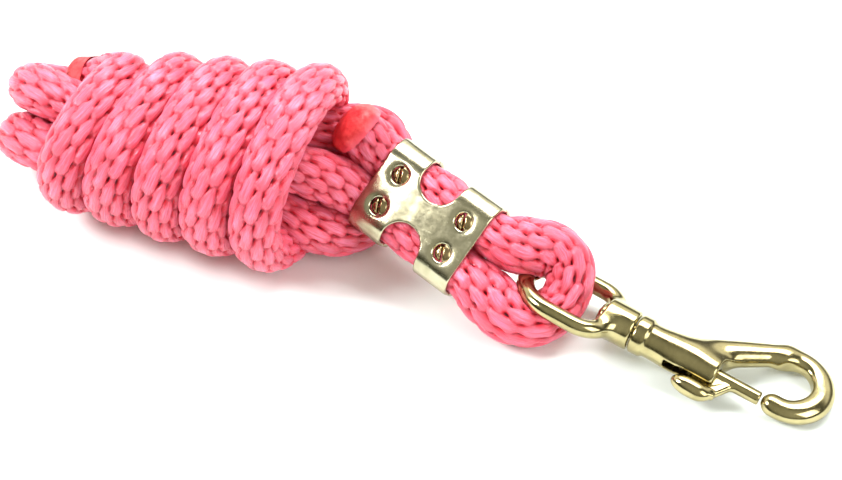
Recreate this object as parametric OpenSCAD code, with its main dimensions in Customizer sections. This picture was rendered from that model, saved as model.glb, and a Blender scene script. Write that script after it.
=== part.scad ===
// Lead rope: one length of braided rope wound into a hank, clamped round the
// swivel eye of a bolt snap. Millimetres, +Z up. The origin is on the table
// under the middle of the hank, and +X runs along the snap towards its hook.

/* [Rope] */
// Diameter of the rope
rope_d = 16; // [14:0.5:18]
// Diameter of the rope where it is squeezed inside the swivel eye
rope_in_eye_d = 10; // [9:0.1:10.4]

/* [Hank] */
// Angle of the hank's long axis to the snap, seen from above
hank_turn = 12; // [8:1:16]
// Length of the wound part, over the five wraps
wound_l = 80; // [76:1:84]
// Radius of the wound part at its narrow end
wound_r1 = 27; // [26:0.5:28]
// Radius of the wound part beside the clamp
wound_r2 = 34; // [33:0.5:35]

/* [Clamp] */
// Length of the clamp along the rope
clamp_l = 38; // [36:1:40]
// Width of the clamp across both strands
clamp_w = 31; // [30:0.5:32]
// Thickness of the closed clamp
clamp_t = 17; // [16.5:0.5:18]
// Thickness of the sheet brass
sheet_t = 1.2; // [1:0.1:1.5]
// Diameter of the prong holes
prong_hole_d = 5.2; // [5:0.1:5.6]

/* [Swivel] */
// Diameter of the bar that the eye is bent from
eye_bar_d = 5; // [4.6:0.1:5]
// Width of the eye, between the middles of its bars
eye_w = 24; // [24:0.2:25]
// Angle of the eye's plane out of the level, turned on its swivel
eye_tilt = 20; // [18:1:22]

/* [Snap] */
// Outer diameter of the barrel
barrel_d = 10.6; // [10.4:0.1:11]
// Length of the barrel
barrel_l = 27; // [26.5:0.5:27.5]
// Diameter of the sliding bolt
bolt_d = 4.16; // [4:0.01:4.2]
// How far the bolt slides back
bolt_travel = 12; // [10:0.5:12]
// Diameter of the hook's rod
hook_rod_d = 6.4; // [6:0.1:6.4]
// Angle at which the snap leans up from its hook to its eye
snap_lean = 7; // [6.5:0.5:7]

/* [Hidden] */
$fn = 48;

rope_color = "hotpink";
brass = "gold";
steel = "silver";

// The barrel's rear face, where the snap's own frame starts
snap_at = [141, 17.5, 10];
// The middle of the clamp, and how it is turned
clamp_at = [71.3, 16.2, 21.8];
clamp_roll = 38;
clamp_dip = 8;
clamp_yaw = -9;

// Hank: place of the wound part along the hank's axis, and heights of its ends
wound_s = -33;
wound_z1 = 25;
wound_z2 = 31;
fold_r = 7.8;
fold_tilt = 43;
tail_d = 13;
tail_l = 16;
tail_at = [-46.5, 18, 33.5];

// Rope route, each point as [x, y, z, diameter]: from the sealed short end,
// through the clamp, round the swivel eye, back through the clamp and into
// the hank
strand = rope_d - 1;
loop_route = [
    [40.5, 24, 38, strand], [45, 24.5, 34.5, strand], [49, 24.7, 31.3, strand],
    [54, 24.6, 28.8, 14], [72.6, 21.8, 26.3, 14], [91.2, 19, 23.8, 14],
    [100, 21.5, 23.6, 14.4], [108, 25, 22.2, 12.4], [114, 24.8, 19.2, 10.8],
    [117.2, 21, 15.7, rope_in_eye_d], [117.9, 17.4, 12.7, rope_in_eye_d],
    [116.6, 13, 9.9, rope_in_eye_d], [113.2, 7.5, 8, rope_in_eye_d],
    [106, 3, 7.9, 12], [97, 4, 10.4, 15], [88.6, 7.8, 14.8, 14],
    [70, 10.6, 17.3, 14], [51.4, 13.4, 19.8, 14], [45, 13, 23, strand],
    [38, 10, 27, strand]
];

// Loose bight beside the clamp, in the hank's own axes: along, away, up
bight_route = [
    [38, 20, 31], [45, 24, 28.5], [50.5, 25, 25], [54, 20, 19],
    [54.5, 12, 13], [51, 3, 9.4], [45, -4, 9.4], [38, -8, 12.5]
];

// Where the eye bears on the rope and swings about it
swing_at = [117.9, 17.5, 12.8];
swing_dip = 36.87;
swing_l = 4;

tube_sides = 10;
steps_between = 4;

// Snap details, along X from the barrel's rear face
bead_d = 12;
bead_l = 4;
slot_w = 3.2;
slot_back = 11.5;
bore_back = 4;
bore_clearance = 0.06;
bolt_back = 20;
bolt_front = 40.8;
hook_at = [46, 9.6];
hook_r = 9.3;
nose_front = 46;
nose_back = 41.2;
shank_from = [14, 2.4];
shank_to_angle = 125;
knob_at = [22.5, -8.2];
knob_d = 5.6;
knob_l = 12;
stem_l = 5;
stem_t = 2.6;

// Swivel eye details, back along X from the barrel's rear face
eye_rear = -24;
eye_shoulder = -16;
shoulder_r = 8;
eye_base_d = 12;
eye_base_back = -10;
eye_gap = 0.6;
rivet_d = 4.4;
rivet_head_d = 8;
rivet_head_t = 2.4;
rivet_clearance = 0.08;
rivet_seat = 3.5;

spring_wire = 0.6;
spring_turns = 8;
spring_mid_d = 3;

notch_w = 13;
notch_depth = 11;
prong_x = 12.3;
prong_y = 5.6;
prong_d = 3.2;
prong_head_d = 4.6;
prong_head_t = 1.4;
clamp_corner = 6;
clamp_split = 0.15;

// ---- helpers ----

// A smooth value between b and c, which follows its neighbours a and d
function smooth(a, b, c, d, t) =
    0.5 * (2 * b + (c - a) * t + (2 * a - 5 * b + 4 * c - d) * t * t
           + (3 * b - a - 3 * c + d) * t * t * t);

// The route's points with smooth steps between them
function smooth_route(p) =
    let (last = len(p) - 1)
    [for (i = [0 : last - 1], k = [0 : steps_between - 1])
        smooth(p[max(i - 1, 0)], p[i], p[i + 1], p[min(i + 2, last)],
               k / steps_between),
     p[last]];

function unit(v) = v / norm(v);
function place(q) = [q[0], q[1], q[2]];
function along(q, i) =
    unit(place(q[min(i + 1, len(q) - 1)]) - place(q[max(i - 1, 0)]));

// A side direction for each ring, carried on from the ring before it
function sides(q, i = 0, side = [0, 0, 1], done = []) =
    i == len(q) ? done
    : let (t = along(q, i), s = unit(side - (side * t) * t))
      sides(q, i + 1, s, concat(done, [s]));

// A tube along points [x, y, z, diameter]
module swept_tube(q, n) {
    s = sides(q);
    rings = len(q);
    points = [for (i = [0 : rings - 1], k = [0 : n - 1])
        let (t = along(q, i), u = s[i], v = cross(t, u), a = 360 * k / n)
        place(q[i]) + q[i][3] / 2 * (cos(a) * u + sin(a) * v)];
    walls = [for (i = [0 : rings - 2], k = [0 : n - 1])
        let (a = i * n + k, b = i * n + (k + 1) % n)
        each [[a, a + n, b], [b, a + n, b + n]]];
    start_cap = [for (k = [0 : n - 1]) k];
    end_cap = [for (k = [n - 1 : -1 : 0]) (rings - 1) * n + k];
    polyhedron(points, concat(walls, [start_cap, end_cap]), convexity = 6);
}

module in_hank() {
    rotate([0, 0, hank_turn]) children();
}

module in_snap() {
    translate(snap_at) rotate([0, snap_lean, 0]) children();
}

module in_eye() {
    in_snap() rotate([-eye_tilt, 0, 0]) children();
}

module in_clamp() {
    translate(clamp_at) rotate([0, 0, clamp_yaw]) rotate([0, clamp_dip, 0])
        rotate([clamp_roll, 0, 0]) children();
}

// A round bar along X
module bar_x(d, from, to) {
    translate([from, 0, 0]) rotate([0, 90, 0]) cylinder(d = d, h = to - from);
}

// Part of a ring of round bar, lying level
module ring_part(r, d, from, sweep) {
    rotate([0, 0, from]) rotate_extrude(angle = sweep) translate([r, 0])
        circle(d = d);
}

// ---- rope ----

// A folded end of the rope that sticks out of the wound part
module folded_end(s, m, z, half_gap, d) {
    translate([s, m, z]) rotate([-fold_tilt, 0, 0]) {
        ring_part(half_gap, d, 90, 180);
        for (side = [-1, 1])
            translate([0, side * half_gap, 0])
                bar_x(d - 0.6, -1, wound_s - s + 6);
    }
}

module rope_hank() {
    slope = atan2(wound_z2 - wound_z1, wound_l);
    color(rope_color) in_hank() difference() {
        union() {
            translate([wound_s, 0, wound_z1]) rotate([0, 90 - slope, 0])
                cylinder(r1 = wound_r1, r2 = wound_r2, h = wound_l, $fn = 96);
            folded_end(-51, 9.2, 26.2, fold_r, strand);
            folded_end(-51, -2.3, 15.2, fold_r, strand);
            translate(tail_at) rotate([0, 60, 0])
                cylinder(d = tail_d, h = tail_l);
        }
        translate([-100, -60, -40]) cube([200, 120, 40]);
    }
}

module rope_eye_loop() {
    color(rope_color) {
        swept_tube(smooth_route(loop_route), tube_sides);
        translate(swing_at) rotate([swing_dip - 90, 0, 0])
            cylinder(d = rope_in_eye_d + 0.8, h = swing_l, center = true);
    }
}

module rope_loose_bight() {
    color(rope_color) in_hank()
        swept_tube([for (p = smooth_route(bight_route))
            [p[0], p[1], p[2], strand]], tube_sides);
}

// ---- clamp ----

module rounded_box_2d(w, t, r) {
    square([w - 2 * r, t], center = true);
    square([w, t - 2 * r], center = true);
    for (x = [-1, 1], y = [-1, 1])
        translate([x * (w / 2 - r), y * (t / 2 - r)]) circle(r = r);
}

// The folded sheet round both strands, before it is split and notched
module clamp_sleeve() {
    rotate([90, 0, 90]) linear_extrude(clamp_l, center = true) difference() {
        rounded_box_2d(clamp_w, clamp_t, clamp_corner);
        rounded_box_2d(clamp_w - 2 * sheet_t, clamp_t - 2 * sheet_t,
                       clamp_corner - sheet_t);
    }
}

// The round-bottomed notches that give the clamp its waist
module waist_notches() {
    r = notch_w / 2;
    for (side = [-1, 1]) translate([0, side * clamp_w / 2, 0]) {
        translate([0, -side * (notch_depth - r), 0])
            cylinder(r = r, h = 2 * clamp_t, center = true);
        cube([notch_w, 2 * (notch_depth - r), 2 * clamp_t], center = true);
    }
}

module at_prongs() {
    for (x = [-prong_x, prong_x], y = [-prong_y, prong_y])
        translate([x, y, 0]) children();
}

module clamp_front() {
    color(brass) in_clamp() difference() {
        clamp_sleeve();
        translate([-clamp_l, -clamp_w, -2 * clamp_t + clamp_split])
            cube([2 * clamp_l, 2 * clamp_w, 2 * clamp_t]);
        waist_notches();
        at_prongs() cylinder(d = prong_hole_d, h = clamp_t);
    }
}

module clamp_back() {
    color(brass) in_clamp() {
        difference() {
            clamp_sleeve();
            translate([-clamp_l, -clamp_w, -clamp_split])
                cube([2 * clamp_l, 2 * clamp_w, 2 * clamp_t]);
            waist_notches();
        }
        at_prongs() {
            translate([0, 0, -clamp_t / 2 + sheet_t / 2])
                cylinder(d = prong_d, h = clamp_t - sheet_t);
            translate([0, 0, clamp_t / 2 - prong_head_t + 0.3])
                cylinder(d = prong_head_d, h = prong_head_t);
        }
    }
}

// ---- swivel ----

module swivel_eye() {
    half_w = eye_w / 2;
    color(brass) in_eye() difference() {
        union() {
            translate([eye_rear, 0, 0])
                ring_part(half_w, eye_bar_d, 90, 180);
            for (side = [-1, 1]) {
                translate([0, side * half_w, 0])
                    bar_x(eye_bar_d, eye_rear, eye_shoulder);
                translate([eye_shoulder, side * (half_w - shoulder_r), 0])
                    ring_part(shoulder_r, eye_bar_d, side > 0 ? 0 : -90, 90);
            }
            bar_x(eye_base_d, eye_base_back, -eye_gap);
        }
        bar_x(rivet_d + 2 * rivet_clearance, eye_base_back - 20, 1);
    }
}

module swivel_rivet() {
    head_front = eye_base_back - 0.3;
    color(brass) in_snap() {
        bar_x(rivet_d, head_front - rivet_head_t / 2, rivet_seat);
        bar_x(rivet_head_d, head_front - rivet_head_t, head_front);
    }
}

// ---- snap ----

module snap_body() {
    ring_end = [hook_at[0] + hook_r * cos(shank_to_angle),
                hook_at[1] + hook_r * sin(shank_to_angle)];
    shank = ring_end - shank_from;
    color(brass) in_snap() difference() {
        union() {
            bar_x(barrel_d, 0, barrel_l);
            bar_x(bead_d, 0, bead_l);
            translate([shank_from[0], shank_from[1], 0])
                rotate([0, 90, atan2(shank[1], shank[0])])
                    cylinder(d1 = hook_rod_d + 1, d2 = hook_rod_d - 0.6,
                             h = norm(shank) + 1.5);
            translate([hook_at[0], hook_at[1], 0])
                ring_part(hook_r, hook_rod_d, -90, shank_to_angle + 90);
            translate([0, hook_at[1] - hook_r, 0])
                bar_x(hook_rod_d, nose_back + 1.5, nose_front);
            translate([nose_back, hook_at[1] - hook_r, 0])
                bar_x(hook_rod_d - 1.4, 0, 3);
        }
        bar_x(bolt_d + 2 * bore_clearance, bore_back, barrel_l + 5);
        translate([slot_back, -barrel_d, -slot_w / 2])
            cube([barrel_l, barrel_d, slot_w]);
        bar_x(rivet_d, -1, rivet_seat);
    }
}

module bolt() {
    color(brass) in_snap() {
        bar_x(bolt_d, bolt_back, bolt_front);
        translate([knob_at[0] + 1.5, knob_at[1], -stem_t / 2])
            cube([stem_l, -knob_at[1], stem_t]);
        translate([knob_at[0], knob_at[1], 0])
            bar_x(knob_d, -(knob_l - knob_d) / 2, (knob_l - knob_d) / 2);
        for (end = [-1, 1])
            translate([knob_at[0] + end * (knob_l - knob_d) / 2,
                       knob_at[1], 0]) sphere(d = knob_d);
    }
}

// The coil spring that holds the bolt against the hook's nose
module bolt_spring() {
    steps = 12 * spring_turns;
    start = bore_back + spring_wire / 2 + 0.05;
    end = bolt_back - spring_wire / 2 - 0.05;
    r = spring_mid_d / 2;
    color(steel) in_snap() swept_tube([for (i = [0 : steps])
        let (a = 360 * spring_turns * i / steps)
        [start + (end - start) * i / steps, r * cos(a), r * sin(a),
         spring_wire]], 6);
}

rope_hank();
rope_eye_loop();
rope_loose_bight();
clamp_front();
clamp_back();
swivel_eye();
swivel_rivet();
snap_body();
bolt();
bolt_spring();
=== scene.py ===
# %% [markdown]
# # A braided lead rope with its bolt snap
#
# A lead rope clips to a horse's halter. This one is a single length of pink braid, wound
# up for the shop: the rope passes through a brass clamp, round the swivel eye of a bolt
# snap, back through the clamp, and the rest is folded and wrapped into a hank. The packed
# CAD model is the frame, so every piece below is made where that model says, in metres.
# The order is camera, rope, snap, clamp, materials, light.

# %% Load the frame
import math

import bpy
import numpy as np
from mathutils import Matrix, Vector


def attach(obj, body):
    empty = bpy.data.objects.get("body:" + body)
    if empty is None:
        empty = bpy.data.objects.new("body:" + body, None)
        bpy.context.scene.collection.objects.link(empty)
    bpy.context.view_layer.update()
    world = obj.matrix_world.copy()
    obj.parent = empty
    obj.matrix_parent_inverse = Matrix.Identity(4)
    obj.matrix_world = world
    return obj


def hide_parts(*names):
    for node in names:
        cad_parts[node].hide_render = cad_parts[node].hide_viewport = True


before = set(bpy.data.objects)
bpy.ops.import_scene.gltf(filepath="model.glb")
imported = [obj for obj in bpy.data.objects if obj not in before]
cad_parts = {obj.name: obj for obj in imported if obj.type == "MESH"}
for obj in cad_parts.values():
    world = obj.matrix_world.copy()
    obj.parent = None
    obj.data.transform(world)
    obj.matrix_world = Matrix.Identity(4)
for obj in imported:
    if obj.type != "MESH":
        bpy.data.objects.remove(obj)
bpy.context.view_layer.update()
MM = 0.001

# %% [markdown]
# ## The camera
#
# A long lens from about three quarters of a metre keeps the snap and the hank at nearly
# the same scale, as a product picture does. The camera stands in front and to the right,
# and looks down at a little under fifty degrees, so the clamp's face is seen square on.

# %% Camera
VIEW_AZIMUTH = math.radians(31)
VIEW_ELEVATION = math.radians(48)
VIEW_DISTANCE = 0.720
VIEW_TARGET = Vector((0.064, 0.024, 0))


def add_camera():
    data = bpy.data.cameras.new("camera")
    data.lens = 100
    camera = bpy.data.objects.new("camera", data)
    level = VIEW_DISTANCE * math.cos(VIEW_ELEVATION)
    camera.location = VIEW_TARGET + Vector((
        level * math.sin(VIEW_AZIMUTH),
        -level * math.cos(VIEW_AZIMUTH),
        VIEW_DISTANCE * math.sin(VIEW_ELEVATION),
    ))
    look = VIEW_TARGET - camera.location
    camera.rotation_euler = look.to_track_quat("-Z", "Y").to_euler()
    bpy.context.scene.collection.objects.link(camera)
    bpy.context.scene.camera = camera
    return camera


camera = add_camera()
print("camera at", [round(c, 3) for c in camera.location])

# %% [markdown]
# ## The rope's route
#
# A rope is a fixed length that lies on one smooth line. Its visible stretches follow the
# same points as the CAD tubes: out of the clamp, round the eye, and the loose bight beside
# the clamp. The wraps are a coil that slants, so a loop works them out. The runs inside the
# hank are hidden, and only join the ends up. The points are in millimetres here, which are
# easier to read, and are turned into metres once.

# %% Route points
HANK_TURN = math.radians(12)
ROPE_D = 16

# Row-frame points: x, y, z, diameter
EYE_LOOP = [
    (40.5, 24, 38, 15.4), (42.5, 24.2, 36.4, 15.4), (45, 24.5, 34.5, 15.6), (49, 24.7, 31.3, 15.8),
    (54, 24.6, 28.8, 15.4), (72.6, 21.8, 26.3, 15), (91.2, 19, 23.8, 15.2),
    (100, 20.3, 21.9, 17.6), (108, 24.4, 20.8, 17.2), (114, 24.4, 18.4, 16.2),
    (117.2, 21, 15.7, 14.8), (117.9, 17.4, 12.7, 14.2), (116.6, 13, 9.9, 15),
    (113, 8, 8.6, 16.6), (106, 5, 9.3, 17.8), (97, 6.2, 12.2, 17.8),
    (88.6, 7.8, 14.8, 15.4), (70, 10.6, 17.3, 15), (51.4, 13.4, 19.8, 15.2),
    (45, 13, 23, 15.8), (38, 10, 27, 15.8),
]
# Hank-frame points: along the hank, away, up, diameter
FIRST_RUNS = [
    (27, -2, 32, 14.5), (10, -4, 33, 13), (-10, -3, 31, 12), (-28, -1, 30, 12.5),
    (-41, 1.5, 31, 15), (-51, 3, 32, 16), (-58, 7, 28.5, 16), (-59, 12, 23.5, 16),
    (-53, 15.5, 20.5, 16), (-41, 13, 21.5, 15), (-28, 9, 24, 12), (-10, 8, 28, 12),
    (10, 10, 31.6, 13), (27, 14.8, 32, 14.2),
]
LOOSE_BIGHT = [
    (38, 19.8, 29.9, 15.4), (45, 24, 28.1, 16), (50.5, 25, 25, 16), (54, 20, 19, 16),
    (54.5, 12, 13, 16), (51, 3, 9.4, 16), (45, -3.6, 10.6, 16), (38, -7, 14, 15.4),
]
LAST_RUNS = [
    (27, -7.5, 18, 13.5), (8, -7, 19, 12), (-10, -7, 18, 12), (-28, -8, 18, 12.5),
    (-41, -9, 19.5, 15), (-51, -8, 20, 16), (-58, -4.5, 17.5, 16), (-59, 0.5, 12.5, 16),
    (-53, 3.5, 10, 16), (-43, 3.5, 12.5, 15), (-31, 4, 19, 12), (-14, 5, 19, 12),
    (4, 7, 18, 12), (18, 9, 17, 13), (28, 13, 14.5, 14.5), (34.5, 16, 12.8, 15.5),
]
TAIL = [(-36.5, 14.5, 33.5, 13.5), (-40.5, 15, 30, 13), (-46, 15.8, 27.6, 13)]

WRAPS = 5
WRAP_TURNS = 4.7
WRAP_STEPS = 16
WRAP_FIRST_S = 38.7
WRAP_PITCH = 15.6
WRAP_START = math.radians(40)
# Each of these is the size at the wrap beside the clamp, and how much less it is at the far one
WRAP_HALF_WIDTH = (28.6, 7.2)
WRAP_HALF_HEIGHT = (24.4, 6.6)
WRAP_AXIS_HEIGHT = (31.4, 6.6)


def hank_to_row(along, away, up):
    c, s = math.cos(HANK_TURN), math.sin(HANK_TURN)
    return along * c - away * s, along * s + away * c, up


def wrap_points():
    """The coil, from the wrap beside the clamp to the far one, which is tighter."""
    points = []
    for i in range(int(WRAP_TURNS * WRAP_STEPS) + 1):
        turn = i / WRAP_STEPS
        part = turn / WRAPS
        half_width, half_height, centre = (
            first - less * part
            for first, less in (WRAP_HALF_WIDTH, WRAP_HALF_HEIGHT, WRAP_AXIS_HEIGHT))
        angle = WRAP_START - 2 * math.pi * turn
        slant = (5 + 3.4 * part) * (0.743 * math.sin(angle) - 0.669 * math.cos(angle))
        points.append((
            WRAP_FIRST_S - WRAP_PITCH * turn + slant,
            half_width * math.sin(angle),
            centre - half_height * math.cos(angle),
            ROPE_D,
        ))
    return points


def whole_route():
    hank_part = FIRST_RUNS + LOOSE_BIGHT + LAST_RUNS
    hidden = len(EYE_LOOP) + len(hank_part)
    hank_part = hank_part + wrap_points()
    wrapped = len(EYE_LOOP) + len(hank_part)
    rows = list(EYE_LOOP)
    rows += [(*hank_to_row(*p[:3]), p[3]) for p in hank_part + TAIL]
    in_wrap = [1.0 if hidden <= i < wrapped else 0.0 for i in range(len(rows))]
    in_clamp = [1.0 if i < len(EYE_LOOP) - 1 else 0.0 for i in range(len(rows))]
    return np.column_stack([np.array(rows, float), in_wrap, in_clamp])


route = whole_route()
print("route points:", len(route))

# %% [markdown]
# ## A line and its rings
#
# The points are joined by a Catmull-Rom curve and then re-spaced evenly, because the
# braid's stitches must all be the same length. Each ring needs a side direction that
# doesn't spin as the rope bends, so each one is carried on from the ring before it.

# %% Line helpers
RING_STEP = 0.7


def smooth_line(points, per_span=14):
    """Catmull-Rom through the points; every column is smoothed the same way."""
    ends = np.vstack([2 * points[0] - points[1], points, 2 * points[-1] - points[-2]])
    a, b, c, d = ends[:-3, None], ends[1:-2, None], ends[2:-1, None], ends[3:, None]
    t = (np.arange(per_span) / per_span)[None, :, None]
    line = 0.5 * (2 * b + (c - a) * t + (2 * a - 5 * b + 4 * c - d) * t * t
                  + (3 * b - a - 3 * c + d) * t ** 3)
    return np.vstack([line.reshape(-1, points.shape[1]), points[-1:]])


def even_steps(line, step):
    """The same line with rings a fixed distance apart."""
    gaps = np.linalg.norm(np.diff(line[:, :3], axis=0), axis=1)
    at = np.concatenate([[0], np.cumsum(gaps)])
    count = int(round(at[-1] / step))
    wanted = np.linspace(0, at[-1], count + 1)
    return np.column_stack([np.interp(wanted, at, line[:, k])
                            for k in range(line.shape[1])]), wanted


def blur(values, width):
    """A running mean along the line that keeps the ends where they are."""
    reach = np.minimum(np.minimum(np.arange(len(values)),
                                  np.arange(len(values))[::-1]), width)
    total = np.vstack([np.zeros((1, values.shape[1])), np.cumsum(values, axis=0)])
    i = np.arange(len(values))
    return (total[i + reach + 1] - total[i - reach]) / (2 * reach + 1)[:, None]


def carried_sides(centres):
    tangents = np.gradient(centres, axis=0)
    tangents /= np.linalg.norm(tangents, axis=1)[:, None]
    sides = np.zeros_like(centres)
    side = np.array([0.0, 0.0, 1.0])
    for i, t in enumerate(tangents):
        side = side - t * side.dot(t)
        side /= np.linalg.norm(side)
        sides[i] = side
    return tangents, sides


line, distance_along = even_steps(smooth_line(route), RING_STEP)
line = blur(line, 3)

# %% [markdown]
# ## The braid
#
# The rope is a solid braid: twelve columns of long stitches, and each column is half a
# stitch out of step with the next. A plain tube with a bump map would look flat at its
# outline, so the stitches are real relief. For each point of the tube the nearest
# stitches are found, each is a mound with a broad head and a narrow tail that dives under
# the next one, and the highest mound wins, which leaves the braid's small deep pits. Its own
# coordinates are kept on the mesh, so that the material can draw filaments along it.

# %% Braid relief
COLUMNS = 12
POINTS_PER_COLUMN = 10
STITCH_L = 8.2
STITCH_HALF_W = 0.66
STITCH_HALF_L = 0.60
STITCH_LEAN = 0.16
BRAID_DEPTH = 2.7
TWIST_PER_MM = 2 * math.pi / 420


def stitch_random(column, number, seed):
    """A repeatable value from 0 to 1 for each stitch."""
    value = np.sin(column * 12.9898 + number * 78.233 + seed * 37.719) * 43758.5453
    return value - np.floor(value)


def braid(around, along):
    """Relief from 0 in the gaps to 1 on a stitch's back, and its place on the stitch."""
    best = np.full(around.shape, -1.0)
    across, lengthways, tint, hole = (np.zeros(around.shape) for _ in range(4))
    for shift in (-1, 0, 1):
        column = np.round(around) + shift
        odd = np.mod(column, 2) * 0.5
        for step in (-1, 0, 1):
            number = np.round(along - odd) + step
            name = np.mod(column, COLUMNS)
            lean = STITCH_LEAN + 0.14 * (stitch_random(name, number, 1) - 0.5)
            dv = along - odd - number
            du = around - column - lean * dv
            v = dv / STITCH_HALF_L
            wide = STITCH_HALF_W * (0.92 + 0.16 * stitch_random(name, number, 2) - 0.26 * v)
            mound = 1 - (du / wide) ** 2 - np.abs(v) ** 2.2 - 0.18 * v
            mound = mound + 0.14 * (stitch_random(name, number, 3) - 0.5)
            pit = (np.abs(du) - 0.40) ** 2 / 0.024 + (dv - 0.36) ** 2 / 0.016
            depth = 0.35 + 0.65 * stitch_random(name, number, 5)
            hole = np.maximum(hole, depth * np.exp(-pit))
            wins = mound > best
            best = np.where(wins, mound, best)
            across = np.where(wins, du / wide, across)
            lengthways = np.where(wins, dv, lengthways)
            tint = np.where(wins, stitch_random(name, number, 4), tint)
    relief = np.clip(best, 0, 1) ** 0.42 * (1 - hole)
    return relief, across, lengthways, tint


# %% Sweep the rope
def hank_axis_at(along):
    """Height of the hank's middle, in the hank's frame."""
    part = (WRAP_FIRST_S - along) / (WRAPS * WRAP_PITCH)
    return WRAP_AXIS_HEIGHT[0] - WRAP_AXIS_HEIGHT[1] * np.clip(part, 0, 1)


def press_directions(centres):
    """The way out of the hank at each ring, along which a wrap is flattened."""
    c, s = math.cos(HANK_TURN), math.sin(HANK_TURN)
    along = centres[:, 0] * c + centres[:, 1] * s
    away = -centres[:, 0] * s + centres[:, 1] * c
    up = centres[:, 2] - hank_axis_at(along)
    out = np.column_stack([-away * s, away * c, up])
    return out / np.linalg.norm(out, axis=1)[:, None]


WRAP_SQUEEZE = 0.15


def rope_surface():
    centres, diameters, in_wrap = line[:, :3], line[:, 3], line[:, 4]
    tangents, sides = carried_sides(centres)
    others = np.cross(tangents, sides)
    n = COLUMNS * POINTS_PER_COLUMN
    angle = 2 * math.pi * np.arange(n) / n
    twist = distance_along * TWIST_PER_MM
    around = np.tile(angle / (2 * math.pi) * COLUMNS, (len(centres), 1))
    along = np.repeat((distance_along / STITCH_L)[:, None], n, axis=1)
    relief, across, lengthways, tint = braid(around, along)
    turned = angle[None, :] + twist[:, None]
    wobble = (0.16 * np.sin(3 * turned + distance_along[:, None] / 11.0)
              + 0.14 * np.sin(2 * turned - distance_along[:, None] / 23.0))
    radius = diameters[:, None] / 2 - BRAID_DEPTH * (1 - relief) ** 1.5 + wobble
    offset = (np.cos(turned)[..., None] * sides[:, None]
              + np.sin(turned)[..., None] * others[:, None]) * radius[..., None]
    out = press_directions(centres)[:, None]
    squeeze = WRAP_SQUEEZE * in_wrap[:, None, None]
    offset = offset - out * (offset * out).sum(axis=2, keepdims=True) * squeeze
    points = centres[:, None] + offset
    return points, (relief, across, lengthways, tint)


rope_points, rope_marks = rope_surface()
print("rope surface:", rope_points.shape[:2], "points")

# %% [markdown]
# ## What presses on the rope
#
# Braid is soft, so it gives where something hard touches it: it flattens on the floor, it
# fills the clamp and swells out at the waist, and the bars of the swivel eye sink in.
# Each of these is a small rule on the points, and each uses the same sizes as the metal.

# %% Shared frames and sizes
CLAMP_AT = np.array([71.3, 16.2, 21.8])
CLAMP_ROLL, CLAMP_DIP, CLAMP_YAW = 38, 8, -9
CLAMP_L, CLAMP_W, CLAMP_T, SHEET_T = 38, 31, 17, 1.2
NOTCH_R, NOTCH_DEPTH = 6.5, 11
PRONG_X, PRONG_Y, PRONG_HOLE_R = 12.3, 5.6, 2.6
SNAP_AT = np.array([141, 17.5, 10])
SNAP_LEAN = 7
EYE_TILT = 20
EYE_BAR_R, EYE_HALF_W, EYE_REAR, EYE_SHOULDER, SHOULDER_R = 2.7, 12, -24, -16, 8


def turned(x=0, y=0, z=0):
    """A turn about X, then Y, then Z, in degrees, as a 3 by 3 array."""
    turns = [Matrix.Rotation(math.radians(a), 3, k) for a, k in ((x, "X"), (y, "Y"), (z, "Z"))]
    return np.array(turns[2] @ turns[1] @ turns[0])


CLAMP_TURN = turned(CLAMP_ROLL, CLAMP_DIP, CLAMP_YAW)
SNAP_TURN = turned(0, SNAP_LEAN, 0)
EYE_TURN = SNAP_TURN @ turned(-EYE_TILT, 0, 0)


def to_local(points, at, turn):
    return (points - at) @ turn


def to_row(points, at, turn):
    return points @ turn.T + at


# %% [markdown]
# ## Shapes from distances
#
# Castings have no sharp inside corners: where a hook leaves a barrel the metal flows.
# Joining plain solids gives creases there, and a voxel remesh leaves steps that show in
# polished brass. So each metal piece is described by a distance, which can be blended
# smoothly, and a mesh is laid on the surface where that distance is zero. The points are
# then moved exactly onto the surface, which keeps the reflections clean.

# %% Distance helpers
def blend_in(a, b, k):
    """Union of two shapes with a fillet of about k."""
    h = np.maximum(k - np.abs(a - b), 0) / k
    return np.minimum(a, b) - h * h * k / 4


def cut_out(a, b, k):
    """Shape a with shape b taken away, its edges rounded by about k."""
    return -blend_in(-a, b, k)


def both(a, b, k):
    return -blend_in(-a, -b, k)


def disc_bar(p, r, start, end, soft=0.5):
    """A round bar along X with softened ends."""
    side = np.hypot(p[:, 1], p[:, 2]) - r
    ends = np.abs(p[:, 0] - (start + end) / 2) - (end - start) / 2
    return both(side, ends, soft)


def block(p, low, high, soft=0.4):
    low, high = np.array(low, float), np.array(high, float)
    q = np.abs(p - (low + high) / 2) - (high - low) / 2
    d = both(both(q[:, 0], q[:, 1], soft), q[:, 2], soft)
    return d


def bent_bar(p, centre, radius, bar, start, sweep):
    """A round bar bent in the local XY plane, from one angle through another."""
    x, y = p[:, 0] - centre[0], p[:, 1] - centre[1]
    middle = math.radians(start + sweep / 2)
    angle = np.arctan2(y, x) - middle
    angle = (angle + math.pi) % (2 * math.pi) - math.pi
    angle = np.clip(angle, -math.radians(sweep / 2), math.radians(sweep / 2)) + middle
    cx, cy = radius * np.cos(angle), radius * np.sin(angle)
    return np.sqrt((x - cx) ** 2 + (y - cy) ** 2 + p[:, 2] ** 2) - bar


def tapered_line(p, points, flat=1.0):
    """A bar through points (x, y, z, radius), thinner in z where flat is under 1."""
    best = np.full(len(p), 1e9)
    q = p * np.array([1, 1, 1 / flat])
    rows = np.array(points, float)
    for a, b in zip(rows[:-1], rows[1:]):
        start, way = a[:3], b[:3] - a[:3]
        t = np.clip(((q - start) @ way) / (way @ way), 0, 1)
        d = np.linalg.norm(q - start - t[:, None] * way, axis=1)
        best = np.minimum(best, (d - (a[3] + t * (b[3] - a[3]))) * flat)
    return best


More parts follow.
